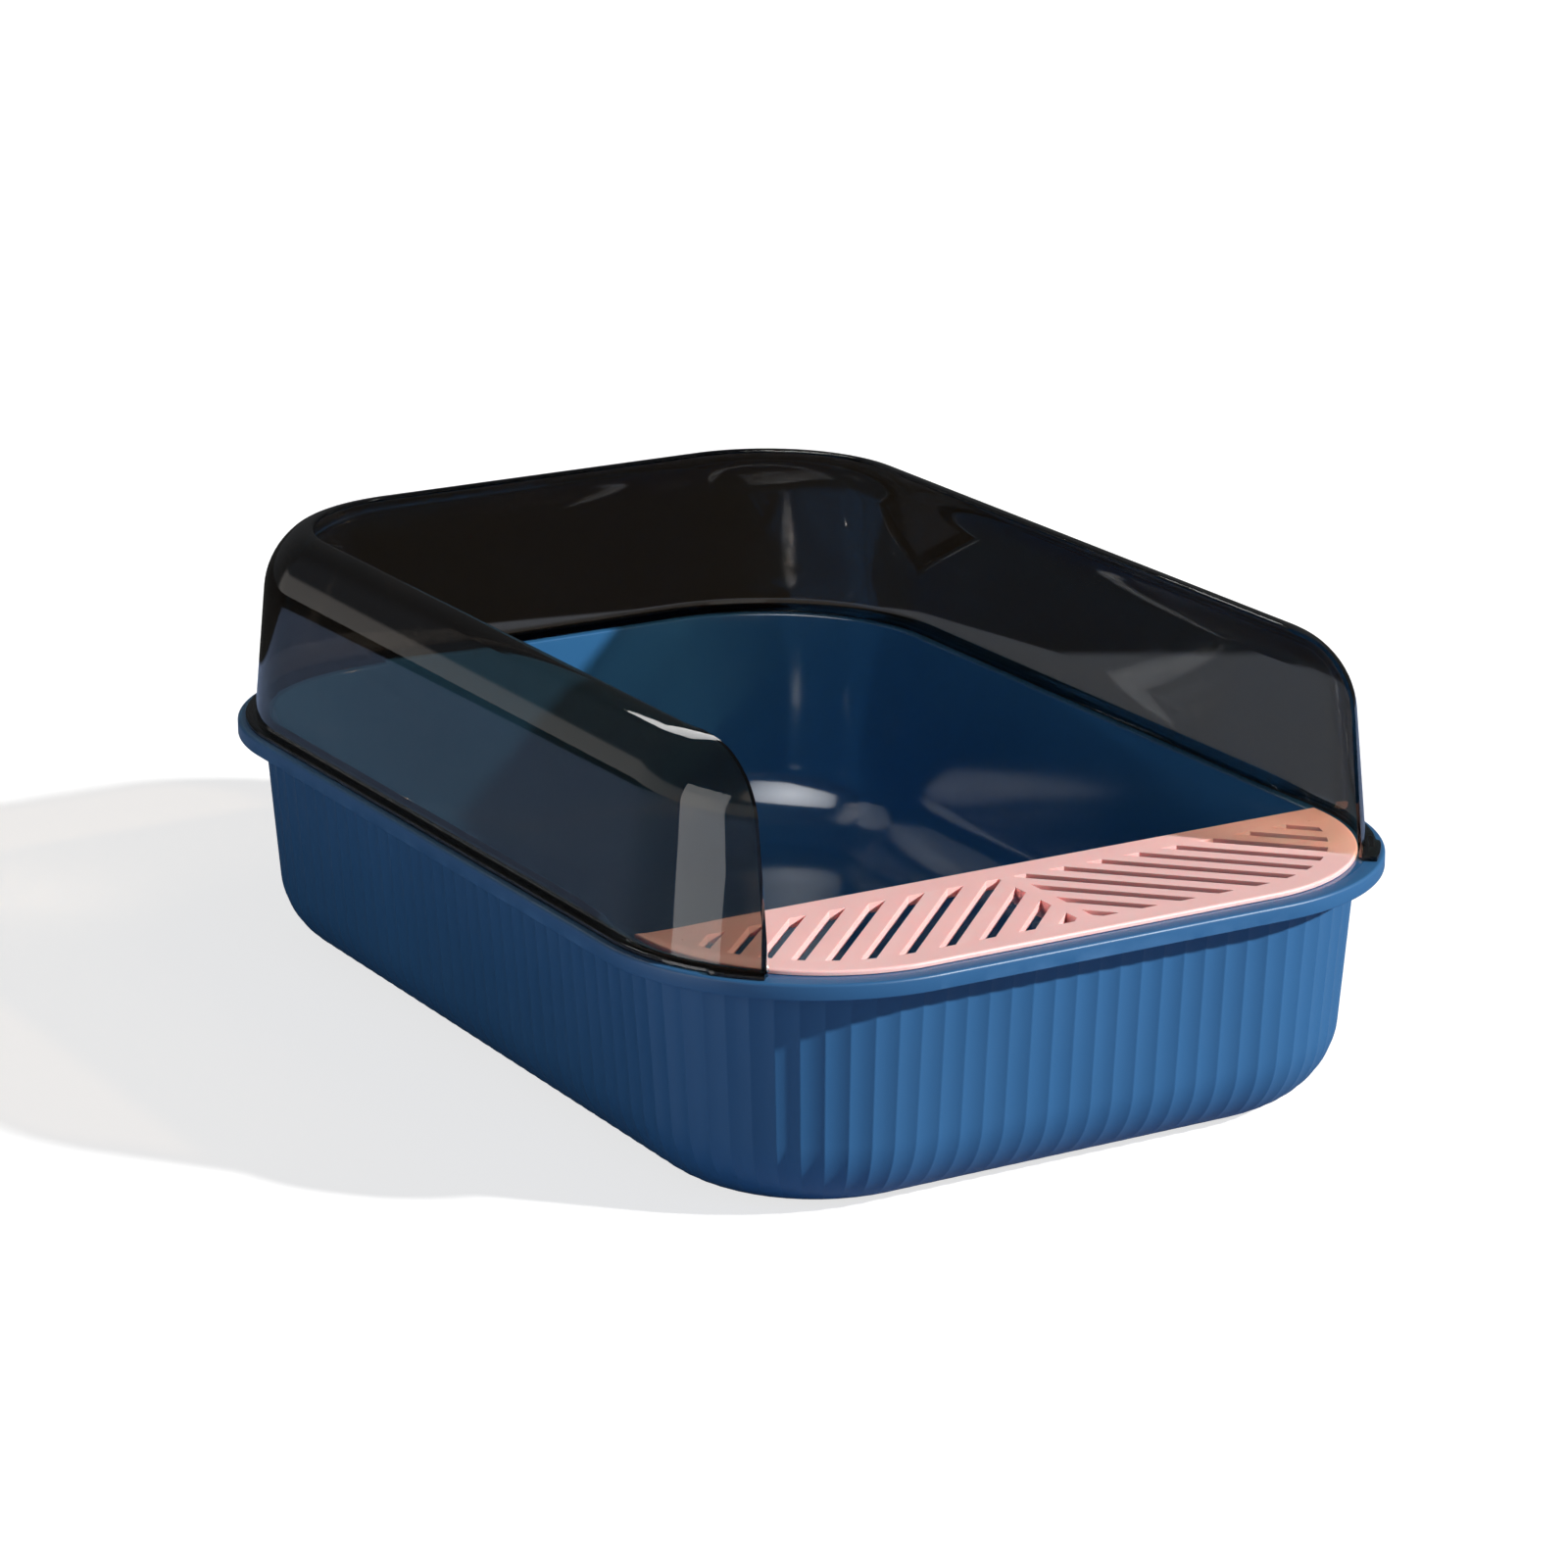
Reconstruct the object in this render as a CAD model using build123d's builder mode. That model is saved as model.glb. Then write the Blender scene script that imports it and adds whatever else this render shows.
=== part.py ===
from build123d import *
import math
import os

# Half-open cat litter box: a fluted pan, a smoked splash shield that clips on its rim and a
# slotted step plate across the front. Millimetres, +Z up, the front is -Y. The origin is
# on the floor, under the middle of the pan.

# Driving dimensions
width = 400
length = 575
rim_top = 120
corner_r = 108

# Pan
rim_face = 7.5
rim_land = 16.5
rim_sheet = 3.0
rim_skirt = 2.5
wall_inset = 13.3
wall_lean = 4.6
flute_depth = 0.9
tub_proud = 0.3
bottom_r = 41
rim_edge_r = 1.4
floor_thick = 3.0
wall_thick = rim_land - wall_inset
side_flutes = 31
end_flutes = 16
corner_flutes = 13
base_recess = 1.2
base_ring = 72

# Splash shield
sheet = 2.0
seat_gap = 0.3
flange_thick = 2.2
flange_inset = 4.0
flange_edge = 0.6
shield_inset = 9.0
foot_thick = 4.0
foot_height = 8.0
straight_rise = 65.0
straight_lean = 6.2
shoulder_turn = 50
shoulder_big_r = 37.8
shoulder_small_r = 17.3
mouth_half = 158.5
end_angle = 47.5
tab_angle = 15
tab_inset = 2.0
lug_inset = 5.6
lug_thick = 1.8
lug_length = 20
lug_depth = 6.5
lug_clear = 0.5
side_lugs = (160, -33)
back_lugs = (78, -78)
front_lug_angle = 33
front_lug_length = 14
rib_stop = 4

# Step plate
plate_half = 184.2
plate_front = -277.5
plate_back = -180
plate_corner_r = 93.5
plate_edge_r = 1.2
edge_thick = 2.2
middle_thick = 4.6
lip_trim = 9.0
lip_depth = 8.0
lip_thick = 2.2
slot_width = 6.2
slot_pitch = 20.8
slot_count = 12
first_slot = -252
spine_half = 4.0
field_back = -196
field_margin = 13.5


def rounded_outline(inset):
    """Rounded rectangle that lies inset inside the rim's outer edge."""
    return RectangleRounded(width - 2 * inset, length - 2 * inset, corner_r - inset)


def corner_centre(side, end):
    return side * (width / 2 - corner_r), end * (length / 2 - corner_r)


def wall_inset_at(z):
    """How far the pan's outside stands in from the rim edge, ridges taken at z."""
    return wall_inset + (rim_top - rim_face - z) * math.tan(math.radians(wall_lean))


def flute_ridges(inset):
    """Ridge points round the pan, anticlockwise from the right side."""
    half_w = width / 2 - inset
    half_l = length / 2 - inset
    flat_w = width / 2 - corner_r
    flat_l = length / 2 - corner_r
    r = corner_r - inset
    ridges = []
    sides = (
        ((half_w, -flat_l), (0, 1), 2 * flat_l, side_flutes, 0, (flat_w, flat_l)),
        ((flat_w, half_l), (-1, 0), 2 * flat_w, end_flutes, 90, (-flat_w, flat_l)),
        ((-half_w, flat_l), (0, -1), 2 * flat_l, side_flutes, 180, (-flat_w, -flat_l)),
        ((-flat_w, -half_l), (1, 0), 2 * flat_w, end_flutes, 270, (flat_w, -flat_l)),
    )
    for (x, y), (dx, dy), run, count, facing, (cx, cy) in sides:
        for i in range(count):
            step = run * i / count
            ridges.append((x + dx * step, y + dy * step))
        for i in range(corner_flutes):
            turn = math.radians(facing + 90 * i / corner_flutes)
            ridges.append((cx + r * math.cos(turn), cy + r * math.sin(turn)))
    return ridges


def fluted_outline(inset):
    """One shallow hollow arc between each two neighbouring ridges."""
    ridges = flute_ridges(inset)
    for i, (x0, y0) in enumerate(ridges):
        x1, y1 = ridges[(i + 1) % len(ridges)]
        chord = math.hypot(x1 - x0, y1 - y0)
        mid_x = (x0 + x1) / 2 - (y1 - y0) / chord * flute_depth
        mid_y = (y0 + y1) / 2 + (x1 - x0) / chord * flute_depth
        ThreePointArc((x0, y0), (mid_x, mid_y), (x1, y1))


def lug_places(clearance=0.0):
    """Where the shield's lugs drop into the rim: place, thickness and length of each."""
    thick = lug_thick + 2 * clearance
    long = lug_length + 2 * clearance
    short = front_lug_length + 2 * clearance
    centre_inset = lug_inset + lug_thick / 2
    for side in (1, -1):
        for y in side_lugs:
            yield Location((side * (width / 2 - centre_inset), y, 0)), thick, long
    for x in back_lugs:
        yield Location((x, length / 2 - centre_inset, 0), (0, 0, 90)), thick, long
    for side in (1, -1):
        cx, cy = corner_centre(side, -1)
        r = corner_r - centre_inset
        turn = math.radians(front_lug_angle)
        spot = (cx + side * r * math.cos(turn), cy - r * math.sin(turn), 0)
        yield Location(spot, (0, 0, -side * front_lug_angle)), thick, short


os.makedirs("parts", exist_ok=True)

# Pan: a drafted tub with a big bottom radius, its outside cut to flutes that run out
# into that radius, then hollowed and given a turned-down rim.
z_wall_top = rim_top - rim_sheet / 2

with BuildPart() as flutes:
    with BuildSketch(Plane.XY.offset(z_wall_top)):
        with BuildLine():
            fluted_outline(wall_inset_at(z_wall_top))
        make_face()
    with BuildSketch(Plane.XY.offset(-floor_thick)):
        with BuildLine():
            fluted_outline(wall_inset_at(-floor_thick))
        make_face()
    loft(ruled=True)

with BuildPart() as hollow:
    with BuildSketch(Plane.XY.offset(rim_top + 1)):
        add(rounded_outline(wall_inset_at(rim_top + 1) + wall_thick))
    extrude(amount=-(rim_top + 1 - floor_thick), taper=wall_lean)
    fillet(hollow.faces().sort_by(Axis.Z)[0].edges(), bottom_r - wall_thick)

with BuildPart() as pan:
    with BuildSketch(Plane.XY.offset(z_wall_top)):
        add(rounded_outline(wall_inset_at(z_wall_top) - tub_proud))
    extrude(amount=-z_wall_top, taper=wall_lean)
    fillet(pan.faces().sort_by(Axis.Z)[0].edges(), bottom_r)
    add(flutes.part, mode=Mode.INTERSECT)
    # Rim: a flat land with a skirt turned down along its outer edge
    with BuildSketch(Plane.XY.offset(rim_top - rim_sheet)):
        add(rounded_outline(0))
    extrude(amount=rim_sheet)
    with BuildSketch(Plane.XY.offset(rim_top - rim_face)):
        add(rounded_outline(0))
        add(rounded_outline(rim_skirt), mode=Mode.SUBTRACT)
    extrude(amount=rim_face - rim_sheet / 2)
    add(hollow.part, mode=Mode.SUBTRACT)
    # Slots in the land for the shield's lugs
    for place, thick, long in lug_places(lug_clear):
        with BuildSketch(Plane.XY.offset(rim_top + 1)):
            with Locations(place):
                Rectangle(thick, long)
        extrude(amount=-(rim_sheet + 2), mode=Mode.SUBTRACT)
    # The underside is relieved, so that the pan stands on a ring
    with BuildSketch(Plane.XY):
        add(rounded_outline(base_ring))
    extrude(amount=base_recess, mode=Mode.SUBTRACT)
    land = pan.faces().filter_by(Plane.XY).sort_by(Axis.Z)[-1]
    fillet(land.outer_wire().edges(), rim_edge_r)

pan.part.label = "pan"
export_step(pan.part, "parts/pan.step")

# Splash shield: one thin sheet that stands on a foot flange, leans in a little and curls
# in at the top. It runs round the back and both sides and stops on the front corners.
z_seat = rim_top + seat_gap
z_flange = z_seat + flange_thick
z_curl = z_flange + straight_rise

lean = math.degrees(math.atan2(straight_lean, straight_rise))

with BuildPart() as shield:
    with BuildLine() as rim_path:
        FilletPolyline(
            (0, length / 2),
            (-width / 2, length / 2),
            (-width / 2, -length / 2),
            (-width / 2 + corner_r + 5, -length / 2),
            radius=corner_r,
        )
    back_plane = Plane(origin=(0, length / 2, 0), x_dir=(0, -1, 0), z_dir=(-1, 0, 0))
    with BuildSketch(back_plane):
        with BuildLine():
            rise = Line((shield_inset, z_flange), (shield_inset + straight_lean, z_curl))
            big_centre = (rise @ 1) + Vector(shoulder_big_r, 0).rotate(Axis.Z, -lean)
            shift = Vector(shoulder_small_r - shoulder_big_r, 0).rotate(Axis.Z, -shoulder_turn)
            small_centre = big_centre + shift
            big_turn = lean - shoulder_turn
            small_turn = shoulder_turn - 90
            big_start = 180 - lean
            small_start = 180 - shoulder_turn
            CenterArc(big_centre, shoulder_big_r, big_start, big_turn)
            top_out = CenterArc(small_centre, shoulder_small_r, small_start, small_turn)
            big_in = CenterArc(big_centre, shoulder_big_r - sheet, big_start, big_turn)
            top_in = CenterArc(small_centre, shoulder_small_r - sheet, small_start, small_turn)
            lip_nose = (top_out @ 1 + top_in @ 1) / 2 + Vector(sheet / 2, 0)
            ThreePointArc(top_out @ 1, lip_nose, top_in @ 1)
            foot_in = shield_inset + foot_thick
            foot_top = z_seat + foot_height
            drop = (big_in @ 0).Y - foot_top
            step_x = (big_in @ 0).X - drop * straight_lean / straight_rise
            Polyline(
                big_in @ 0,
                (step_x, foot_top),
                (foot_in, foot_top - foot_thick + sheet),
                (foot_in, z_seat),
                (flange_inset, z_seat),
                (flange_inset, z_flange - flange_edge),
                (flange_inset + flange_edge, z_flange),
                (shield_inset, z_flange),
            )
        make_face()
    sweep(path=rim_path.wires()[0])
    # Mouth: the sheet stops on an upright plane, its flange square to the rim's curve
    cx, cy = corner_centre(-1, -1)
    with BuildSketch(Plane.XY):
        with Locations((-mouth_half, cy)):
            Rectangle(2 * mouth_half, corner_r + 1, align=(Align.MIN, Align.MAX))
    extrude(amount=length, mode=Mode.SUBTRACT)
    with BuildSketch(Plane(origin=(cx, cy, 0))):
        with BuildLine():
            reach = Vector(2 * corner_r, 0)
            end_point = reach.rotate(Axis.Z, 180 + end_angle)
            front_point = reach.rotate(Axis.Z, 270)
            Polyline((0, 0), end_point, front_point, (0, 0))
        make_face()
    extrude(amount=z_flange + 1, mode=Mode.SUBTRACT)
    # Finger tab at the end of the flange
    with BuildSketch(Plane(origin=(cx, cy, z_seat))):
        with BuildLine():
            tab_start = 180 + end_angle - tab_angle
            outer = CenterArc((0, 0), corner_r - tab_inset, tab_start, tab_angle)
            inner = CenterArc((0, 0), corner_r - shield_inset - sheet / 2, tab_start, tab_angle)
            Line(outer @ 0, inner @ 0)
            Line(outer @ 1, inner @ 1)
        make_face()
    extrude(amount=flange_thick)
    # The foot's inner rib stops short of the step plate, which lies between the ends
    with BuildSketch(Plane.XY.offset(z_seat - 1)):
        add(rounded_outline(shield_inset + sheet))
        with Locations((0, cy + rib_stop)):
            Rectangle(width, length, align=(Align.CENTER, Align.MAX), mode=Mode.INTERSECT)
    extrude(amount=foot_height + 2, mode=Mode.SUBTRACT)
    mirror(about=Plane.YZ)
    # Lugs under the flange
    for place, thick, long in lug_places():
        with BuildSketch(Plane.XY.offset(z_flange - 1)):
            with Locations(place):
                Rectangle(thick, long)
        extrude(amount=-(lug_depth + flange_thick - 1))

shield.part.label = "splash_shield"
export_step(shield.part, "parts/splash_shield.step")

# Step plate: a slotted plate whose thin edge lies on the rim, with a thicker middle and a
# locating lip turned down inside the pan
z_plate = z_seat + edge_thick


def plate_outline(trim):
    """Plate outline, straight at the back and rounded at the two front corners."""
    half = plate_half - trim
    front = plate_front + trim
    back = plate_back
    r = plate_corner_r - trim
    with BuildSketch(mode=Mode.PRIVATE) as shape:
        with BuildLine():
            FilletPolyline((-half, back), (-half, front), (half, front), (half, back), radius=r)
            Line((half, back), (-half, back))
        make_face()
    return shape.sketch


def slot_field():
    """Right-hand half of the slots: 45 degree bars kept inside an even margin."""
    with BuildSketch(mode=Mode.PRIVATE) as shape:
        for i in range(slot_count):
            with Locations((first_slot + i * slot_pitch - field_back, field_back, 0)):
                Rectangle(length, slot_width, rotation=-45)
        add(plate_outline(field_margin), mode=Mode.INTERSECT)
        with Locations((spine_half, field_back)):
            Rectangle(plate_half, length, align=(Align.MIN, Align.MAX), mode=Mode.INTERSECT)
    return shape.sketch


with BuildPart() as step_plate:
    with BuildSketch(Plane.XY.offset(z_seat)):
        add(plate_outline(0))
    extrude(amount=edge_thick)
    fillet(step_plate.faces().sort_by(Axis.Z)[-1].outer_wire().edges(), plate_edge_r)
    with BuildSketch(Plane.XY.offset(z_plate - 1)):
        add(plate_outline(lip_trim))
    extrude(amount=-(middle_thick - 1))
    with BuildSketch(Plane.XY.offset(z_plate - 1)):
        add(plate_outline(lip_trim))
        add(plate_outline(lip_trim + lip_thick), mode=Mode.SUBTRACT)
        with Locations((0, plate_back)):
            Rectangle(2 * (plate_half - lip_trim), lip_thick, align=(Align.CENTER, Align.MAX))
        with Locations((0, (plate_back + plate_front) / 2)):
            Rectangle(lip_thick, plate_back - plate_front - 2 * lip_trim)
    extrude(amount=-(edge_thick + lip_depth - 1))
    with BuildSketch(Plane.XY.offset(z_plate + 1)):
        add(slot_field())
        mirror(about=Plane.YZ)
    extrude(amount=-(middle_thick + 2), mode=Mode.SUBTRACT)

step_plate.part.label = "step_plate"
export_step(step_plate.part, "parts/step_plate.step")
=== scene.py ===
# Half-open cat litter box: a fluted blue pan, a smoked splash shield that clips on its rim and
# a pink slotted step plate across the front. Metres, +Z up, the front is -Y, floor at z = 0.

import math
import bmesh
import bpy
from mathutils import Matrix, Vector


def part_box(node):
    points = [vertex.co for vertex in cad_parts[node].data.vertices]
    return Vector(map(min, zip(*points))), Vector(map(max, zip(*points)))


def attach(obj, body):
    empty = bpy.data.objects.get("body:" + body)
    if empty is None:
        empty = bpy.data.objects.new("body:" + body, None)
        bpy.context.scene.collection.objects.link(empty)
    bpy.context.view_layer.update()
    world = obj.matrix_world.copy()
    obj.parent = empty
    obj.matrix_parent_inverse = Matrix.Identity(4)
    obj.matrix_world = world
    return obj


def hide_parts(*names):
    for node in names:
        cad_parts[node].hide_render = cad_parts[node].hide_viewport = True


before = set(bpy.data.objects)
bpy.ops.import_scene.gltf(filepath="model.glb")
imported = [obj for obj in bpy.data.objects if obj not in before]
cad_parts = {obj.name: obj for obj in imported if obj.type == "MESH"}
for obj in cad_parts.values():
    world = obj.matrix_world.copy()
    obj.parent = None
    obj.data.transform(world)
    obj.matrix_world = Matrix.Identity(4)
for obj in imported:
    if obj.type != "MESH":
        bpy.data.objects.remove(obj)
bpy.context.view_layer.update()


# Pan -------------------------------------------------------------------------------------
# One injection-moulded tub in mid-blue polypropylene: drafted walls, a big bottom radius and
# a flat rim with a skirt turned down. Shallow flutes run down the outside and die out in the
# bottom radius; the outside is satin and the inside is polished, so litter slides off it.

mm = 0.001
pan_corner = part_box("pan")[1]
half_width = pan_corner.x
half_length = pan_corner.y
rim_top = pan_corner.z
corner_round = 108 * mm

side_flutes = 31
end_flutes = 16
corner_flutes = 13
flute_hollow = 0.9 * mm
flute_steps = (0.0, 0.04, 0.18, 0.4, 0.6, 0.82, 0.96)

rim_drop = 7.5 * mm
rim_sheet = 3.0 * mm
rim_skirt = 2.5 * mm
rim_edge_round = 1.4 * mm
small_round = 0.5 * mm
wall_inset = 13.3 * mm
wall_lean = math.radians(4.6)
wall_thick = 3.2 * mm
floor_thick = 3.0 * mm
bottom_round = 41 * mm
base_ring = 72 * mm
base_recess = 1.2 * mm
floor_ring = 30 * mm
inside_rows = (60 * mm, 85 * mm, 108 * mm)
outside_row = 11 * mm
under_rim_round = 1.2 * mm
under_rim_soft = 0.35 * mm
flutes_fade_by = 14

slot_near = 5.1 * mm
slot_far = 7.9 * mm
lug_half = 10 * mm
slot_half = 10.5 * mm
side_lugs = (160 * mm, -33 * mm)
back_lugs = (78 * mm, -78 * mm)
front_lug_turn = math.radians(33)
front_lug_half_turn = math.radians(4.2)
slot_half_turn = math.radians(4.6)


def arc(centre_in, centre_z, radius, start, end, count):
    """Section points along a quarter or less: inset and height, angles from the outward side."""
    points = []
    for i in range(count + 1):
        turn = math.radians(start + (end - start) * i / count)
        inset = centre_in - radius * math.cos(turn)
        points.append((inset, centre_z + radius * math.sin(turn)))
    return points


def rim_stations():
    """Stops round the rim, anticlockwise: corner centre, facing direction and flute fraction.

    Besides the flutes' own stops there is one at each end of each lug slot."""
    flat_w = half_width - corner_round
    flat_l = half_length - corner_round
    sides = (
        (flat_w, -flat_l, 0, 1, 2 * flat_l, side_flutes, 0, side_lugs),
        (flat_w, flat_l, -1, 0, 2 * flat_w, end_flutes, 90, back_lugs),
        (-flat_w, flat_l, 0, -1, 2 * flat_l, side_flutes, 180, side_lugs),
        (-flat_w, -flat_l, 1, 0, 2 * flat_w, end_flutes, 270, ()),
    )
    stops = []
    for x, y, dx, dy, run, count, facing, lugs in sides:
        marks = [i + part for i in range(count) for part in flute_steps]
        for place in lugs:
            along = (place - (y if dy else x)) * (dx + dy)
            marks += [(along + end * slot_half) / run * count for end in (-1, 1)]
        for mark in sorted(marks):
            along = run * mark / count
            stops.append((x + dx * along, y + dy * along, math.radians(facing), mark % 1))
        marks = [i + part for i in range(corner_flutes) for part in flute_steps]
        if facing >= 180:
            middle = front_lug_turn if facing == 180 else math.pi / 2 - front_lug_turn
            ends = (middle - slot_half_turn, middle + slot_half_turn)
            marks += [end / (math.pi / 2) * corner_flutes for end in ends]
        for mark in sorted(marks):
            turn = facing + 90 * mark / corner_flutes
            stops.append((x + dx * run, y + dy * run, math.radians(turn), mark % 1))
    return stops


def wall_at(z):
    """How far the outside of the wall stands in from the rim's edge at a height."""
    return wall_inset + (rim_top - rim_drop - z) * math.tan(wall_lean)


def pan_section():
    """Section of the pan from the floor's middle, up inside, over the rim, down to the base.

    Each point is inset, height, depth of the flutes there and which finish it has."""
    points = []
    lean = math.degrees(wall_lean)
    inner_round = bottom_round - wall_thick
    inner_z = floor_thick + inner_round
    inner_in = wall_at(inner_z) + wall_thick + inner_round / math.cos(wall_lean)
    points.append((inner_in + floor_ring, floor_thick, 0, 0))
    for inset, z in arc(inner_in, inner_z, inner_round, -90, -lean, 14):
        points.append((inset, z, 0, 0))
    for z in inside_rows:
        points.append((wall_at(z) + wall_thick, z, 0, 0))
    land_in = wall_at(rim_top) + wall_thick
    edge = small_round * 2
    for inset, z in arc(land_in - edge, rim_top - edge, edge, 180, 90, 4):
        points.append((inset, z, 0, 0))
    points.append((slot_far, rim_top, 0, 1))
    points.append((slot_near, rim_top, 0, 1))
    for inset, z in arc(rim_edge_round, rim_top - rim_edge_round, rim_edge_round, 90, 0, 6):
        points.append((inset, z, 0, 1))
    skirt_end = rim_top - rim_drop
    for inset, z in arc(small_round, skirt_end + small_round, small_round, 0, -90, 3):
        points.append((inset, z, 0, 1))
    for inset, z in arc(rim_skirt - small_round, skirt_end + small_round, small_round, -90, -180, 3):
        points.append((inset, z, 0, 1))
    under = rim_top - rim_sheet
    points.append((rim_skirt, under - small_round, 0, 1))
    points.append((rim_skirt + small_round, under, 0, 1))
    points.append((slot_near, under, 0, 1))
    points.append((slot_far, under, 0, 1))
    points.append((wall_at(under) - under_rim_round, under, 0, 1))
    points.append((wall_at(under) - under_rim_soft, under - under_rim_soft, 0.3, 1))
    points.append((wall_at(under), under - under_rim_round, 1, 1))
    for step in range(1, 7):
        z = under - step * outside_row
        points.append((wall_at(z), z, 1, 1))
    outer_in = wall_at(bottom_round) + bottom_round / math.cos(wall_lean)
    fillet = arc(outer_in, bottom_round, bottom_round, -lean, -90, 18)
    for i, (inset, z) in enumerate(fillet):
        fade = max(0.0, 1 - (i / flutes_fade_by) ** 2)
        points.append((inset, z, fade, 1))
    points.append((base_ring, 0, 0, 1))
    points.append((base_ring + 0.3 * mm, base_recess - 0.3 * mm, 0, 1))
    points.append((base_ring + small_round, base_recess, 0, 1))
    return points


def has_slot(x, y, facing):
    """True where a stop lies inside one of the eight lug slots or at its end."""
    hair = 0.01 * mm
    if abs(x) == half_width - corner_round and facing in (0, math.pi):
        return any(abs(y - place) < slot_half + hair for place in side_lugs)
    if facing == math.pi / 2:
        return any(abs(x - place) < slot_half + hair for place in back_lugs)
    turn = abs(math.atan2(math.sin(facing), abs(math.cos(facing))))
    if y < 0 and math.sin(facing) < 0:
        return abs(turn - front_lug_turn) < slot_half_turn + 0.0001
    return False


def build_pan():
    """The whole pan as one closed skin, its slots left open through the rim."""
    stops = rim_stations()
    section = pan_section()
    verts = []
    for x, y, facing, part in stops:
        hollow = 4 * part * (1 - part) * flute_hollow
        for inset, z, depth, _ in section:
            reach = corner_round - inset - hollow * depth
            verts.append((x + reach * math.cos(facing), y + reach * math.sin(facing), z))
    rows = len(section)
    top_near = [i for i, p in enumerate(section) if p[0] == slot_near]
    slotted = [has_slot(x, y, facing) for x, y, facing, _ in stops]
    faces = []
    finish = []
    count = len(stops)
    for c in range(count):
        n = (c + 1) % count
        cut = slotted[c] and slotted[n]
        for r in range(rows - 1):
            if cut and (r == top_near[0] - 1 or r == top_near[1]):
                continue
            faces.append((c * rows + r, n * rows + r, n * rows + r + 1, c * rows + r + 1))
            finish.append(section[r][3])
        if cut:
            near_t, near_u = top_near[0], top_near[1]
            far_t, far_u = near_t - 1, near_u + 1
            faces.append((c * rows + near_t, c * rows + near_u, n * rows + near_u, n * rows + near_t))
            faces.append((c * rows + far_t, n * rows + far_t, n * rows + far_u, c * rows + far_u))
            finish += [1, 1]
        if slotted[c] != slotted[n]:
            e = n if slotted[n] else c
            wall = [e * rows + top_near[0] - 1, e * rows + top_near[0]]
            wall += [e * rows + top_near[1], e * rows + top_near[1] + 1]
            faces.append(wall if slotted[n] else wall[::-1])
            finish.append(1)
    faces.append([c * rows for c in range(count)][::-1])
    finish.append(0)
    faces.append([c * rows + rows - 1 for c in range(count)])
    finish.append(1)
    mesh = bpy.data.meshes.new("litter_pan")
    mesh.from_pydata(verts, [], faces)
    for poly, kind in zip(mesh.polygons, finish):
        poly.material_index = kind
        poly.use_smooth = True
    mesh.validate()
    shape = bmesh.new()
    shape.from_mesh(mesh)
    bmesh.ops.recalc_face_normals(shape, faces=shape.faces)
    shape.to_mesh(mesh)
    shape.free()
    mesh.set_sharp_from_angle(angle=math.radians(50))
    return mesh


def new_group(name, inputs, outputs):
    """An empty shader group with named sockets; returns its tree and its end nodes."""
    tree = bpy.data.node_groups.new(name, "ShaderNodeTree")
    for label, kind, value in inputs:
        socket = tree.interface.new_socket(name=label, in_out="INPUT", socket_type=kind)
        socket.default_value = value
    for label, kind in outputs:
        tree.interface.new_socket(name=label, in_out="OUTPUT", socket_type=kind)
    return tree, tree.nodes.new("NodeGroupInput"), tree.nodes.new("NodeGroupOutput")


def add_noise(tree, scale, detail, rough=0.5, stretch=None):
    """Noise in the object's own metres, stretched along an axis if asked."""
    place = tree.nodes.new("ShaderNodeTexCoord")
    noise = tree.nodes.new("ShaderNodeTexNoise")
    noise.inputs["Scale"].default_value = scale
    noise.inputs["Detail"].default_value = detail
    noise.inputs["Roughness"].default_value = rough
    source = place.outputs["Object"]
    if stretch:
        mapping = tree.nodes.new("ShaderNodeMapping")
        mapping.inputs["Scale"].default_value = stretch
        tree.links.new(source, mapping.inputs["Vector"])
        source = mapping.outputs["Vector"]
    tree.links.new(source, noise.inputs["Vector"])
    return noise.outputs["Fac"]


def add_range(tree, value, low, high, to_low=0.0, to_high=1.0):
    """Maps a value from one range to another and holds it there."""
    node = tree.nodes.new("ShaderNodeMapRange")
    node.inputs["From Min"].default_value = low
    node.inputs["From Max"].default_value = high
    node.inputs["To Min"].default_value = to_low
    node.inputs["To Max"].default_value = to_high
    tree.links.new(value, node.inputs["Value"])
    return node.outputs["Result"]


def add_math(tree, kind, first, second):
    """One Math node; each side is a socket or a number."""
    node = tree.nodes.new("ShaderNodeMath")
    node.operation = kind
    for side, value in enumerate((first, second)):
        if isinstance(value, (int, float)):
            node.inputs[side].default_value = value
        else:
            tree.links.new(value, node.inputs[side])
    return node.outputs["Value"]


def add_mix(tree, factor, first, second, kind="MIX"):
    """Mixes two colours; each is a socket or an RGB triple."""
    node = tree.nodes.new("ShaderNodeMix")
    node.data_type = "RGBA"
    node.blend_type = kind
    if isinstance(factor, (int, float)):
        node.inputs["Factor"].default_value = factor
    else:
        tree.links.new(factor, node.inputs["Factor"])
    for label, value in (("A", first), ("B", second)):
        socket = [s for s in node.inputs if s.name == label and s.type == "RGBA"][0]
        if isinstance(value, tuple):
            socket.default_value = (*value, 1)
        else:
            tree.links.new(value, socket)
    return [s for s in node.outputs if s.type == "RGBA"][0]


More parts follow.
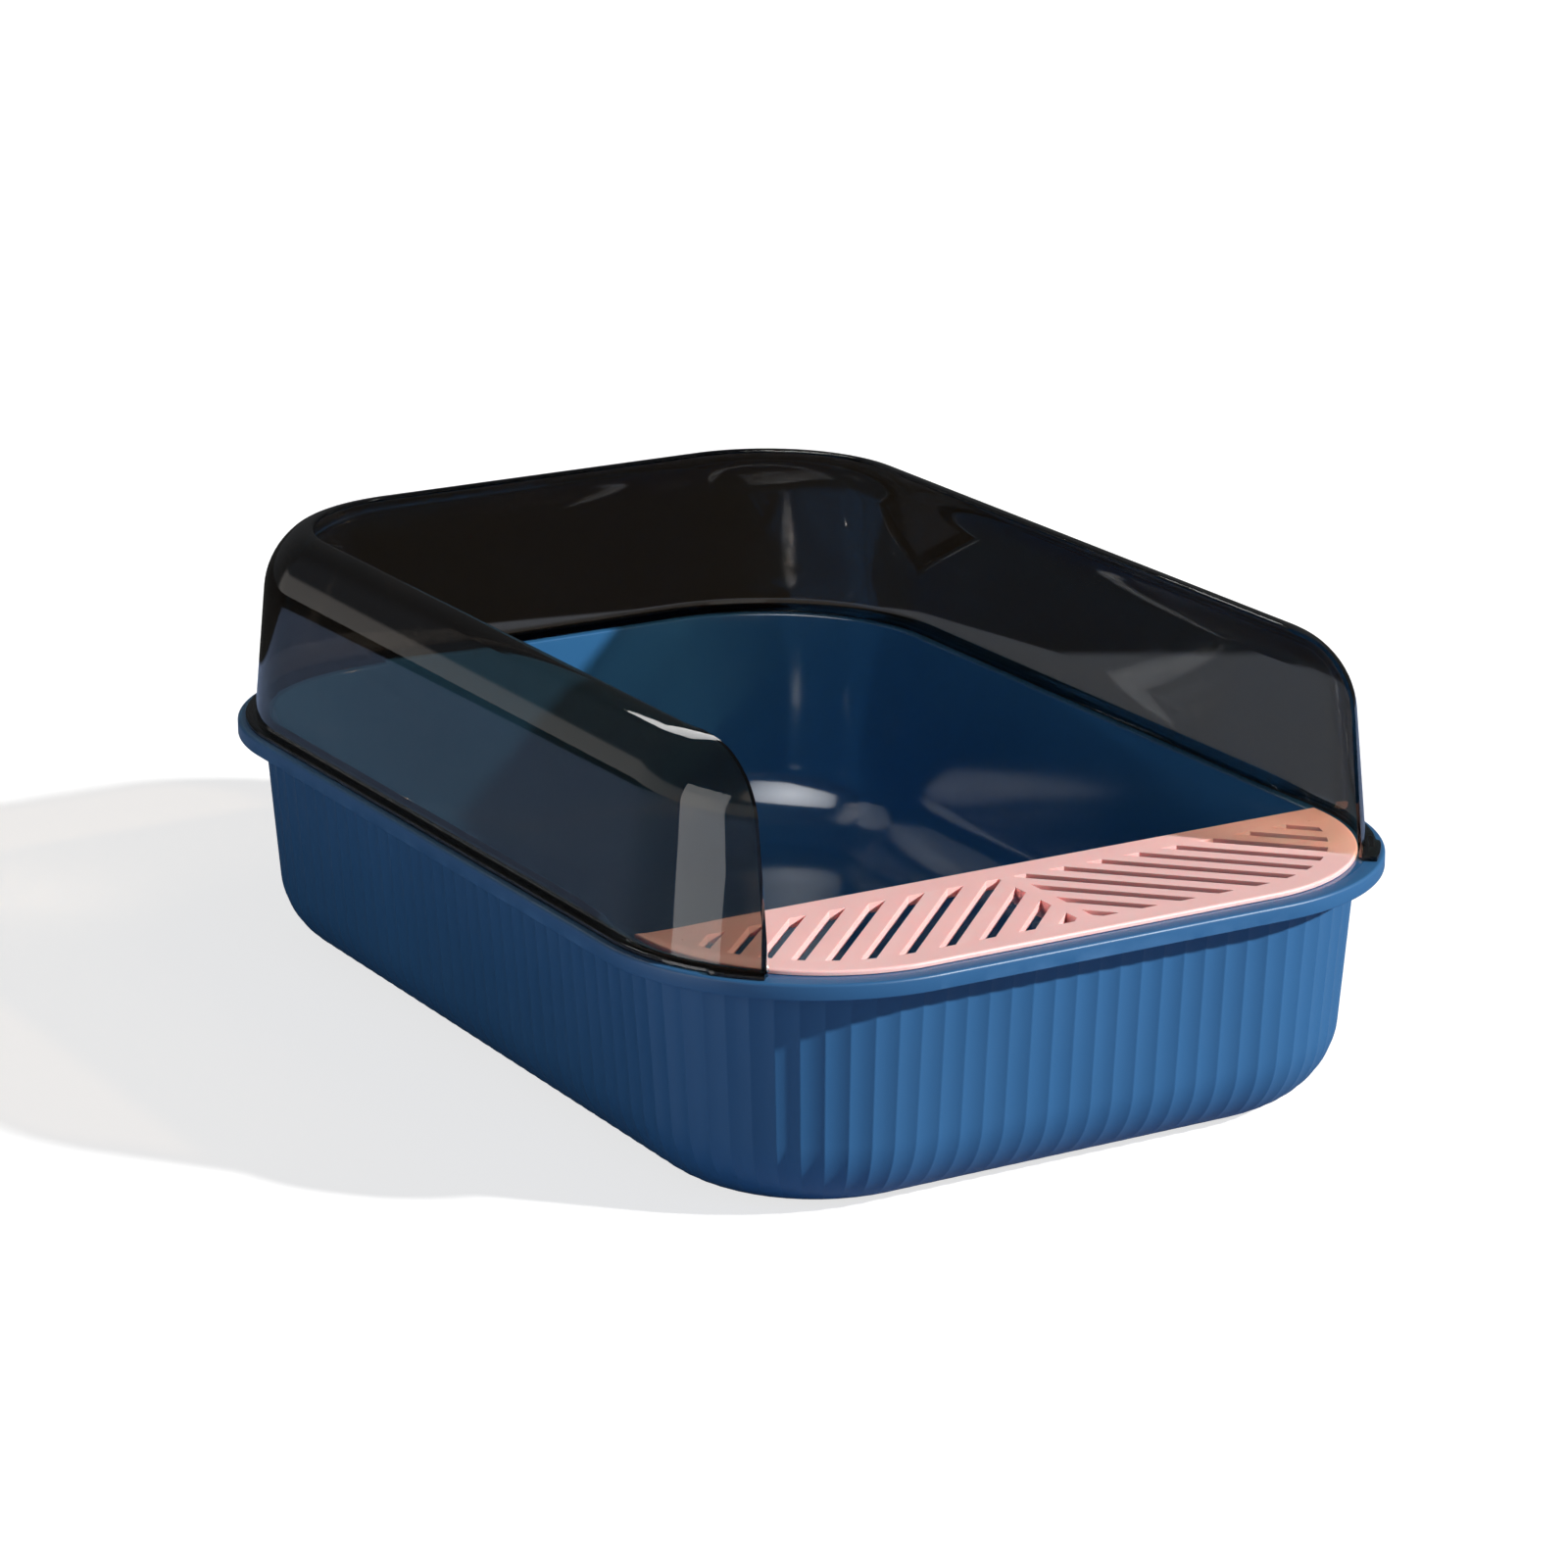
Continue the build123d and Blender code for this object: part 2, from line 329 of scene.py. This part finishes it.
# Flow marks, moulded grain and rubbed edges, shared by every opaque plastic here
moulded, taken, given = new_group(
    "moulded plastic skin",
    (
        ("Color", "NodeSocketColor", (0.5, 0.5, 0.5, 1)),
        ("Rubbed Color", "NodeSocketColor", (0.7, 0.7, 0.7, 1)),
        ("Flow", "NodeSocketFloat", 0.06),
        ("Rub", "NodeSocketFloat", 0.3),
        ("Gloss Low", "NodeSocketFloat", 0.3),
        ("Gloss High", "NodeSocketFloat", 0.45),
    ),
    (
        ("Color", "NodeSocketColor"),
        ("Roughness", "NodeSocketFloat"),
        ("Grain", "NodeSocketFloat"),
    ),
)
flow = add_noise(moulded, 9, 3, 0.55, (1, 1, 0.45))
flow = add_range(moulded, flow, 0.3, 0.7, -1, 1)
shade = add_math(moulded, "MULTIPLY", flow, taken.outputs["Flow"])
shade = add_math(moulded, "ADD", shade, 1.0)
tinted = moulded.nodes.new("ShaderNodeVectorMath")
tinted.operation = "SCALE"
moulded.links.new(taken.outputs["Color"], tinted.inputs[0])
moulded.links.new(shade, tinted.inputs["Scale"])
bend = moulded.nodes.new("ShaderNodeNewGeometry").outputs["Pointiness"]
edge = add_range(moulded, bend, 0.53, 0.62)
patchy = add_range(moulded, add_noise(moulded, 55, 4), 0.4, 0.65)
rub = add_math(moulded, "MULTIPLY", edge, patchy)
rub = add_math(moulded, "MULTIPLY", rub, taken.outputs["Rub"])
rubbed = add_mix(moulded, rub, tinted.outputs["Vector"], taken.outputs["Rubbed Color"])
moulded.links.new(rubbed, given.inputs["Color"])
haze = add_range(moulded, add_noise(moulded, 22, 5, 0.6), 0.3, 0.7)
span = add_math(moulded, "SUBTRACT", taken.outputs["Gloss High"], taken.outputs["Gloss Low"])
gloss = add_math(moulded, "MULTIPLY", haze, span)
gloss = add_math(moulded, "ADD", gloss, taken.outputs["Gloss Low"])
moulded.links.new(gloss, given.inputs["Roughness"])
grain = add_noise(moulded, 2600, 2, 0.5)
moulded.links.new(grain, given.inputs["Grain"])


def moulded_material(name, colour, rubbed_colour, flow_amount, rub_amount, gloss_range, grain_depth):
    """Opaque moulded plastic with the shared skin and a fine grain bump."""
    mat = bpy.data.materials.new(name)
    mat.use_nodes = True
    tree = mat.node_tree
    shader = tree.nodes["Principled BSDF"]
    skin = tree.nodes.new("ShaderNodeGroup")
    skin.node_tree = moulded
    skin.inputs["Color"].default_value = (*colour, 1)
    skin.inputs["Rubbed Color"].default_value = (*rubbed_colour, 1)
    skin.inputs["Flow"].default_value = flow_amount
    skin.inputs["Rub"].default_value = rub_amount
    skin.inputs["Gloss Low"].default_value = gloss_range[0]
    skin.inputs["Gloss High"].default_value = gloss_range[1]
    bump = tree.nodes.new("ShaderNodeBump")
    bump.inputs["Strength"].default_value = 1
    bump.inputs["Distance"].default_value = grain_depth
    tree.links.new(skin.outputs["Grain"], bump.inputs["Height"])
    tree.links.new(skin.outputs["Color"], shader.inputs["Base Color"])
    tree.links.new(skin.outputs["Roughness"], shader.inputs["Roughness"])
    tree.links.new(bump.outputs["Normal"], shader.inputs["Normal"])
    shader.inputs["IOR"].default_value = 1.49
    return mat


blue = (0.0267, 0.113, 0.256)
pale_blue = (0.11, 0.25, 0.46)
polish = (0.085, 0.13)
satin = (0.36, 0.46)
pan_inside = moulded_material("polished blue inside", blue, pale_blue, 0.05, 0.10, polish, 0.000004)
pan_outside = moulded_material("satin blue outside", blue, pale_blue, 0.07, 0.35, satin, 0.00003)

pan = bpy.data.objects.new("litter_pan", build_pan())
bpy.context.scene.collection.objects.link(pan)
pan.data.materials.append(pan_inside)
pan.data.materials.append(pan_outside)
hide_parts("pan")
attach(pan, "pan")


# Splash shield ---------------------------------------------------------------------------
# One 2 mm sheet of polished smoke-grey styrene, moulded in one shot. It stands on a foot
# flange on the pan's rim, leans in, curls over into a rounded lip, and stops on the front
# corners at a square-cut mouth. Lugs under the flange drop into slots in the rim.

sheet = 2.0 * mm
seat = rim_top + 0.3 * mm
flange_top = seat + 2.2 * mm
flange_in = 4 * mm
flange_chamfer = 0.6 * mm
sheet_in = 9 * mm
foot_round = 0.8 * mm
rib_thick = 4 * mm
rib_rise = 8 * mm
rise = 65 * mm
rise_lean = 6.2 * mm
big_round = 37.8 * mm
little_round = 17.3 * mm
turn_split = 50
mouth_half = 158.5 * mm
flange_end_turn = math.radians(47.5)
tab_turn = math.radians(15)
tab_in = 2 * mm
lug_in = 5.6 * mm
lug_thick = 1.8 * mm
lug_drop = 6.5 * mm
rib_end = -175.5 * mm
rib_taper = 45 * mm
cut_edge_round = 0.35 * mm
corner_steps = 60


def shield_section():
    """Outer skin from the flange up to the lip, then the inner skin down to the foot.

    Each point is inset, height and what it belongs to: flange, sheet or rib."""
    lean = math.degrees(math.atan2(rise_lean, rise))
    points = [(flange_in, seat, "flange"), (flange_in, flange_top - flange_chamfer, "flange")]
    points.append((flange_in + flange_chamfer, flange_top, "flange"))
    points.append((sheet_in - foot_round, flange_top, "flange"))
    points.append((sheet_in - foot_round * 0.3, flange_top + foot_round * 0.3, "sheet"))
    curl = flange_top + rise
    for part in (0.015, 0.2, 0.4, 0.6, 0.8):
        points.append((sheet_in + rise_lean * part, flange_top + rise * part, "sheet"))
    lean_turn = math.radians(lean)
    big_in = sheet_in + rise_lean + big_round * math.cos(lean_turn)
    big_z = curl - big_round * math.sin(lean_turn)
    split = math.radians(turn_split)
    little_in = big_in + (little_round - big_round) * math.cos(split)
    little_z = big_z + (big_round - little_round) * math.sin(split)
    outer = arc(big_in, big_z, big_round, lean, turn_split, 9)
    outer += arc(little_in, little_z, little_round, turn_split, 90, 8)[1:]
    nose_in, nose_z = outer[-1]
    middle = nose_z - sheet / 2
    nose = arc(nose_in, middle, sheet / 2, 90, 270, 6)[1:-1]
    inner = arc(little_in, little_z, little_round - sheet, 90, turn_split, 8)
    inner += arc(big_in, big_z, big_round - sheet, turn_split, lean, 9)[1:]
    for inset, z in outer + nose + inner:
        points.append((inset, z, "sheet"))
    rib_top = seat + rib_rise
    last_in, last_z = inner[-1]
    for part in (0.25, 0.5, 0.75, 1):
        z = last_z + (rib_top - last_z) * part
        points.append((last_in - (last_z - z) * rise_lean / rise, z, "sheet"))
    rib_in = sheet_in + rib_thick
    points.append((rib_in, rib_top - sheet, "rib"))
    points.append((rib_in, seat + small_round, "rib"))
    points.append((rib_in - small_round, seat, "rib"))
    points.append((sheet_in, seat, "sheet"))
    points.append((lug_in + lug_thick, seat, "flange"))
    points.append((lug_in, seat, "flange"))
    return points


def shield_stops():
    """Stops round the shield from the right mouth end, round the back, to the left end.

    Each is centre x, centre y, facing in radians, and the share of the way to the mouth."""
    flat_w = half_width - corner_round
    flat_l = half_length - corner_round
    lug_turn = front_lug_half_turn * 0.95
    lug_shares = [(front_lug_turn + end * lug_turn) / flange_end_turn for end in (-1, 1)]
    tab_share = 1 - tab_turn / flange_end_turn
    shares = [i / 32 for i in range(1, 33)] + lug_shares + [tab_share, tab_share + 0.02, 0.995]
    shares = sorted(set(shares))
    side_ys = [rib_end + rib_taper * i / 8 for i in range(9)]
    side_ys += [-75 * mm, 20 * mm, 65 * mm, 110 * mm]
    for place in side_lugs:
        side_ys += [place - lug_half, place + lug_half]
    side_ys = sorted([y for y in side_ys if y > -flat_l] + [flat_l])
    back_xs = [0, 40 * mm, -40 * mm]
    for place in back_lugs:
        back_xs += [place - lug_half, place + lug_half]
    back_xs = sorted(back_xs, reverse=True)
    turns = [90 * i / corner_steps for i in range(corner_steps + 1)]
    stops = [(flat_w, -flat_l, 0.0, share) for share in reversed(shares)]
    stops.append((flat_w, -flat_l, 0.0, 0.0))
    stops += [(flat_w, y, 0.0, 0.0) for y in side_ys]
    stops += [(flat_w, flat_l, math.radians(turn), 0.0) for turn in turns[1:]]
    stops += [(x, flat_l, math.pi / 2, 0.0) for x in back_xs]
    stops += [(-flat_w, flat_l, math.radians(90 + turn), 0.0) for turn in turns[:-1]]
    stops += [(-flat_w, y, math.pi, 0.0) for y in reversed(side_ys)]
    stops.append((-flat_w, -flat_l, math.pi, 0.0))
    stops += [(-flat_w, -flat_l, math.pi, share) for share in shares]
    return stops


def mouth_turn(inset, part):
    """How far round the front corner a section point goes before it is cut off."""
    if part == "flange":
        return flange_end_turn
    flat_w = half_width - corner_round
    return math.acos((mouth_half - flat_w) / (corner_round - inset))


def is_lug(spot):
    """True if an underside face lies in a lug's place."""
    flat_w = half_width - corner_round
    flat_l = half_length - corner_round
    over_x = max(0, abs(spot.x) - flat_w)
    if spot.y > flat_l:
        reach = math.hypot(over_x, spot.y - flat_l)
    elif spot.y < -flat_l:
        reach = math.hypot(over_x, -flat_l - spot.y)
    else:
        reach = over_x
    inset = corner_round - reach
    if not lug_in - 0.2 * mm < inset < lug_in + lug_thick + 0.2 * mm:
        return False
    if spot.y > flat_l:
        return any(abs(spot.x - place) < lug_half for place in back_lugs)
    if spot.y < -flat_l:
        turn = math.atan2(-flat_l - spot.y, over_x)
        return abs(turn - front_lug_turn) < front_lug_half_turn
    return any(abs(spot.y - place) < lug_half for place in side_lugs)


def build_shield():
    """The shield as one closed skin, with its lugs drawn down out of the flange."""
    section = shield_section()
    stops = shield_stops()
    rows = len(section)
    tab_start = flange_end_turn - tab_turn
    verts = []
    for x, y, facing, share in stops:
        for inset, z, part in section:
            turn = share * mouth_turn(inset, part)
            if part == "flange" and inset <= flange_in + flange_chamfer:
                swell = min(1, max(0, (turn - tab_start) / math.radians(1.0)))
                inset -= (flange_in - tab_in) * swell
            if part == "rib":
                full = min(1, max(0, (y - rib_end) / rib_taper)) if share == 0 else 0
                full = full * full * (3 - 2 * full)
                inset = sheet_in + sheet + (inset - sheet_in - sheet) * full
            angle = facing - turn if facing == 0 else facing + turn
            reach = corner_round - inset
            verts.append((x + reach * math.cos(angle), y + reach * math.sin(angle), z))
    faces = []
    for c in range(len(stops) - 1):
        for r in range(rows):
            s = (r + 1) % rows
            faces.append((c * rows + r, (c + 1) * rows + r, (c + 1) * rows + s, c * rows + s))
    mesh = bpy.data.meshes.new("splash_shield")
    mesh.from_pydata(verts, [], faces)
    shape = bmesh.new()
    shape.from_mesh(mesh)
    shape.verts.ensure_lookup_table()
    last = (len(stops) - 1) * rows
    for base in (0, last):
        ring = [shape.verts[base + r] for r in range(rows)]
        cap = shape.faces.new(ring)
        bmesh.ops.triangulate(shape, faces=[cap], ngon_method="BEAUTY")
    bmesh.ops.recalc_face_normals(shape, faces=shape.faces)
    lug_faces = []
    for face in shape.faces:
        spot = face.calc_center_median()
        if abs(spot.z - seat) < 0.01 * mm and is_lug(spot):
            lug_faces.append(face)
    grown = bmesh.ops.extrude_face_region(shape, geom=lug_faces)
    tips = [item for item in grown["geom"] if isinstance(item, bmesh.types.BMVert)]
    for vert in tips:
        vert.co.z -= lug_drop
    bmesh.ops.delete(shape, geom=lug_faces, context="FACES")
    bmesh.ops.recalc_face_normals(shape, faces=shape.faces)
    weight = shape.edges.layers.float.new("bevel_weight_edge")
    for edge in shape.edges:
        if len(edge.link_faces) == 2 and edge.calc_face_angle() > math.radians(50):
            edge[weight] = 1
    for face in shape.faces:
        face.smooth = True
    shape.to_mesh(mesh)
    shape.free()
    return mesh


# Fingerprints, haze and a faint ripple that break up a polished sheet
polished, taken, given = new_group(
    "handled clear sheet",
    (
        ("Clear", "NodeSocketFloat", 0.02),
        ("Handled", "NodeSocketFloat", 0.09),
    ),
    (
        ("Roughness", "NodeSocketFloat"),
        ("Ripple", "NodeSocketFloat"),
    ),
)
smear = add_noise(polished, 14, 5, 0.62, (1, 1, 1.6))
smear = add_range(polished, smear, 0.52, 0.75)
span = add_math(polished, "SUBTRACT", taken.outputs["Handled"], taken.outputs["Clear"])
smear = add_math(polished, "MULTIPLY", smear, span)
smear = add_math(polished, "ADD", smear, taken.outputs["Clear"])
polished.links.new(smear, given.inputs["Roughness"])
polished.links.new(add_noise(polished, 9, 1), given.inputs["Ripple"])

smoke = bpy.data.materials.new("smoked styrene")
smoke.use_nodes = True
tree = smoke.node_tree
shader = tree.nodes["Principled BSDF"]
shader.inputs["Base Color"].default_value = (0.96, 0.96, 0.95, 1)
shader.inputs["Transmission Weight"].default_value = 1
shader.inputs["IOR"].default_value = 1.52
smoke_in_depth = tree.nodes.new("ShaderNodeVolumeAbsorption")
smoke_in_depth.inputs["Color"].default_value = (0.43, 0.31, 0.14, 1)
smoke_in_depth.inputs["Density"].default_value = 940
tree.links.new(smoke_in_depth.outputs["Volume"], tree.nodes["Material Output"].inputs["Volume"])
surface = tree.nodes.new("ShaderNodeGroup")
surface.node_tree = polished
tree.links.new(surface.outputs["Roughness"], shader.inputs["Roughness"])
bump = tree.nodes.new("ShaderNodeBump")
bump.inputs["Strength"].default_value = 1
bump.inputs["Distance"].default_value = 0.00004
tree.links.new(surface.outputs["Ripple"], bump.inputs["Height"])
tree.links.new(bump.outputs["Normal"], shader.inputs["Normal"])
lamp_through = tree.nodes.new("ShaderNodeBsdfTransparent")
lamp_through.inputs["Color"].default_value = (0.92, 0.92, 0.92, 1)
path = tree.nodes.new("ShaderNodeLightPath")
choose = tree.nodes.new("ShaderNodeMixShader")
tree.links.new(path.outputs["Is Shadow Ray"], choose.inputs["Fac"])
tree.links.new(shader.outputs["BSDF"], choose.inputs[1])
tree.links.new(lamp_through.outputs["BSDF"], choose.inputs[2])
tree.links.new(choose.outputs["Shader"], tree.nodes["Material Output"].inputs["Surface"])

shield = bpy.data.objects.new("smoked_splash_shield", build_shield())
bpy.context.scene.collection.objects.link(shield)
shield.data.materials.append(smoke)
rounding = shield.modifiers.new("rounded cut edges", "BEVEL")
rounding.limit_method = "WEIGHT"
rounding.width = cut_edge_round
rounding.segments = 2
shading = shield.modifiers.new("flat faces stay flat", "WEIGHTED_NORMAL")
shading.weight = 50
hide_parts("splash_shield")
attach(shield, "shield")


# Step plate ------------------------------------------------------------------------------
# A pink polypropylene plate that lies across the front of the pan. Litter falls off the
# cat's paws through its 45 degree slots; a lip turned down inside the pan locates it.

plate_edge_soft = 0.45 * mm


def build_step_plate():
    """The plate's moulded form, cleaned and smooth shaded; a bevel added after it breaks every hard
    edge and slot mouth a little.
    """
    shape = bmesh.new()
    shape.from_mesh(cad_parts["step_plate"].data)
    bmesh.ops.remove_doubles(shape, verts=shape.verts, dist=0.002 * mm)
    bmesh.ops.dissolve_limit(
        shape, angle_limit=math.radians(2), verts=shape.verts, edges=shape.edges
    )
    bmesh.ops.recalc_face_normals(shape, faces=shape.faces)
    for face in shape.faces:
        face.smooth = True
    mesh = bpy.data.meshes.new("slotted_step_plate")
    shape.to_mesh(mesh)
    shape.free()
    return mesh


# Some light gets through the pink plastic, most of it red
pink = (1.0, 0.57, 0.55)
pale_pink = (1.0, 0.70, 0.68)
plate_pink = moulded_material("satin pink", pink, pale_pink, 0.035, 0.30, (0.38, 0.5), 0.00003)
shader = plate_pink.node_tree.nodes["Principled BSDF"]
shader.inputs["Subsurface Weight"].default_value = 0.35
shader.inputs["Subsurface Radius"].default_value = (1.0, 0.2, 0.16)
shader.inputs["Subsurface Scale"].default_value = 0.005

plate = bpy.data.objects.new("slotted_step_plate", build_step_plate())
bpy.context.scene.collection.objects.link(plate)
plate.data.materials.append(plate_pink)
rounding = plate.modifiers.new("broken edges", "BEVEL")
rounding.limit_method = "ANGLE"
rounding.angle_limit = math.radians(40)
rounding.width = plate_edge_soft
rounding.segments = 2
shading = plate.modifiers.new("flat faces stay flat", "WEIGHTED_NORMAL")
shading.weight = 70
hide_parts("step_plate")
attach(plate, "step")


# Floor -----------------------------------------------------------------------------------
# A plain pale studio floor that runs out to the horizon. To anything but the eye it is the
# dull floor of a room, and dark from a line behind the box on.

floor_reach = 9.0
floor_drop = 0.3 * mm
toward_room_end = (0.5, 0.866, 0)
floor_mesh = bpy.data.meshes.new("studio_floor")
floor_mesh.from_pydata(
    [
        (-floor_reach, -floor_reach, -floor_drop),
        (floor_reach, -floor_reach, -floor_drop),
        (floor_reach, floor_reach, -floor_drop),
        (-floor_reach, floor_reach, -floor_drop),
    ],
    [],
    [(0, 1, 2, 3)],
)
floor = bpy.data.objects.new("studio_floor", floor_mesh)
bpy.context.scene.collection.objects.link(floor)
paper = bpy.data.materials.new("pale studio floor")
paper.use_nodes = True
tree = paper.node_tree
tree.nodes.remove(tree.nodes["Principled BSDF"])


def dull_surface(tree, colour):
    """A matt shader of one brightness."""
    node = tree.nodes.new("ShaderNodeBsdfDiffuse")
    node.inputs["Color"].default_value = (*colour, 1)
    return node.outputs["BSDF"]


def choose_shader(tree, factor, first, second):
    """Mixes two shaders by a socket or a number."""
    node = tree.nodes.new("ShaderNodeMixShader")
    if isinstance(factor, (int, float)):
        node.inputs["Fac"].default_value = factor
    else:
        tree.links.new(factor, node.inputs["Fac"])
    tree.links.new(first, node.inputs[1])
    tree.links.new(second, node.inputs[2])
    return node.outputs["Shader"]


path = tree.nodes.new("ShaderNodeLightPath")
glow = tree.nodes.new("ShaderNodeEmission")
glow.inputs["Color"].default_value = (1, 1, 1, 1)
glow.inputs["Strength"].default_value = 1.45
white_paper = dull_surface(tree, (0.92, 0.92, 0.92))
pale = choose_shader(tree, 0.5, white_paper, glow.outputs["Emission"])
spot = tree.nodes.new("ShaderNodeTexCoord")
across = tree.nodes.new("ShaderNodeVectorMath")
across.operation = "DOT_PRODUCT"
across.inputs[1].default_value = toward_room_end
tree.links.new(spot.outputs["Object"], across.inputs[0])
beyond = add_range(tree, across.outputs["Value"], 0.63, 0.645)
near_floor = dull_surface(tree, (0.19, 0.25, 0.39))
far_floor = dull_surface(tree, (0.03, 0.03, 0.03))
room = choose_shader(tree, beyond, near_floor, far_floor)
floor_look = choose_shader(tree, path.outputs["Is Camera Ray"], room, pale)
tree.links.new(floor_look, tree.nodes["Material Output"].inputs["Surface"])
floor_mesh.materials.append(paper)


# Studio walls ----------------------------------------------------------------------------
# White to the eye. For mirrored or passing light it is a dim room, paler low down and dark
# at the far end, so that the smoked sheet and the polished inside have something to show.

world = bpy.data.worlds.new("soft studio")
bpy.context.scene.world = world
world.use_nodes = True
tree = world.node_tree
white_sky = tree.nodes["Background"]
white_sky.inputs["Color"].default_value = (1, 1, 1, 1)
white_sky.inputs["Strength"].default_value = 1.0
direction = tree.nodes.new("ShaderNodeTexCoord")
split = tree.nodes.new("ShaderNodeSeparateXYZ")
tree.links.new(direction.outputs["Generated"], split.inputs["Vector"])
low_wall = add_range(tree, split.outputs["Z"], 0.20, 0.24, 1, 0)
toward_back = tree.nodes.new("ShaderNodeVectorMath")
toward_back.operation = "DOT_PRODUCT"
toward_back.inputs[1].default_value = toward_room_end
tree.links.new(direction.outputs["Generated"], toward_back.inputs[0])
dark_side = add_range(tree, toward_back.outputs["Value"], 0.60, 0.66)
room_light = add_mix(tree, low_wall, (0.085, 0.095, 0.11), (0.48, 0.47, 0.46))
room_light = add_mix(tree, dark_side, room_light, (0.057, 0.061, 0.066))
room_sky = tree.nodes.new("ShaderNodeBackground")
tree.links.new(room_light, room_sky.inputs["Color"])
path = tree.nodes.new("ShaderNodeLightPath")
to_eye = path.outputs["Is Camera Ray"]
sky_look = choose_shader(tree, to_eye, room_sky.outputs["Background"], white_sky.outputs["Background"])
tree.links.new(sky_look, tree.nodes["World Output"].inputs["Surface"])


# Light -----------------------------------------------------------------------------------
# A low sun from the front right and one soft box for the left side. The cards only show as
# reflections: in the far corner of the pan, down the shield's front left corner and along its
# lip, and more faintly in the pan's floor and the shield's right wall.

def aim(thing, place, target):
    """Puts a lamp or camera somewhere, facing a point."""
    thing.location = place
    thing.rotation_mode = "QUATERNION"
    thing.rotation_quaternion = (Vector(target) - Vector(place)).to_track_quat("-Z", "Y")


sun_lamp = bpy.data.lights.new("key", "SUN")
sun_lamp.energy = 5.0
sun_lamp.angle = math.radians(2.5)
sun_lamp.color = (1.0, 0.985, 0.96)
key = bpy.data.objects.new("key", sun_lamp)
bpy.context.scene.collection.objects.link(key)
sun_height = math.radians(31.5)
sun_from = Vector((0.68, -0.73, math.tan(sun_height)))
aim(key, sun_from, (0, 0, 0))


def add_card(name, place, target, size, brightness):
    """A soft box the camera doesn't see, given by its two sizes and its brightness."""
    lamp = bpy.data.lights.new(name, "AREA")
    lamp.shape = "RECTANGLE"
    lamp.size, lamp.size_y = size
    lamp.energy = brightness * math.pi * size[0] * size[1]
    card = bpy.data.objects.new(name, lamp)
    bpy.context.scene.collection.objects.link(card)
    aim(card, place, target)
    card.visible_camera = False
    card.visible_transmission = False
    return card


fill = add_card("left fill", (-1.8, -0.3, 0.5), (0, 0, 0.1), (1.6, 0.8), 1.3)
fill.visible_glossy = False
mirrored = (
    ("pan corner card", (-0.114, 0.038, 0.324), (0.146, 0.241, 0.024), (0.48, 0.28), 2.2, 85),
    ("corner card", (-0.65, -0.19, 0.21), (-0.17, -0.19, 0.21), (0.27, 0.36), 2.0, 180),
    ("lip card", (-0.045, 0.494, 0.795), (-0.165, -0.185, 0.216), (0.36, 0.26), 5, 180),
)
for name, place, target, size, brightness, spread in mirrored:
    card = add_card(name, place, target, size, brightness)
    card.visible_diffuse = False
    card.data.spread = math.radians(spread)


# Camera ----------------------------------------------------------------------------------
# A long lens from the front left, looking down a little.

camera_turn = math.radians(-30.44)
camera_height = math.radians(17.24)
camera_away = 2.504
camera_target = Vector((-0.0262, -0.0406, 0.1296))
back = Vector((
    math.sin(camera_turn) * math.cos(camera_height),
    -math.cos(camera_turn) * math.cos(camera_height),
    math.sin(camera_height),
))
lens = bpy.data.cameras.new("camera")
lens.sensor_width = 36
lens.lens = 120.4
camera = bpy.data.objects.new("camera", lens)
bpy.context.scene.collection.objects.link(camera)
aim(camera, camera_target + back * camera_away, camera_target)
bpy.context.scene.camera = camera
bpy.context.scene.view_settings.view_transform = "Standard"
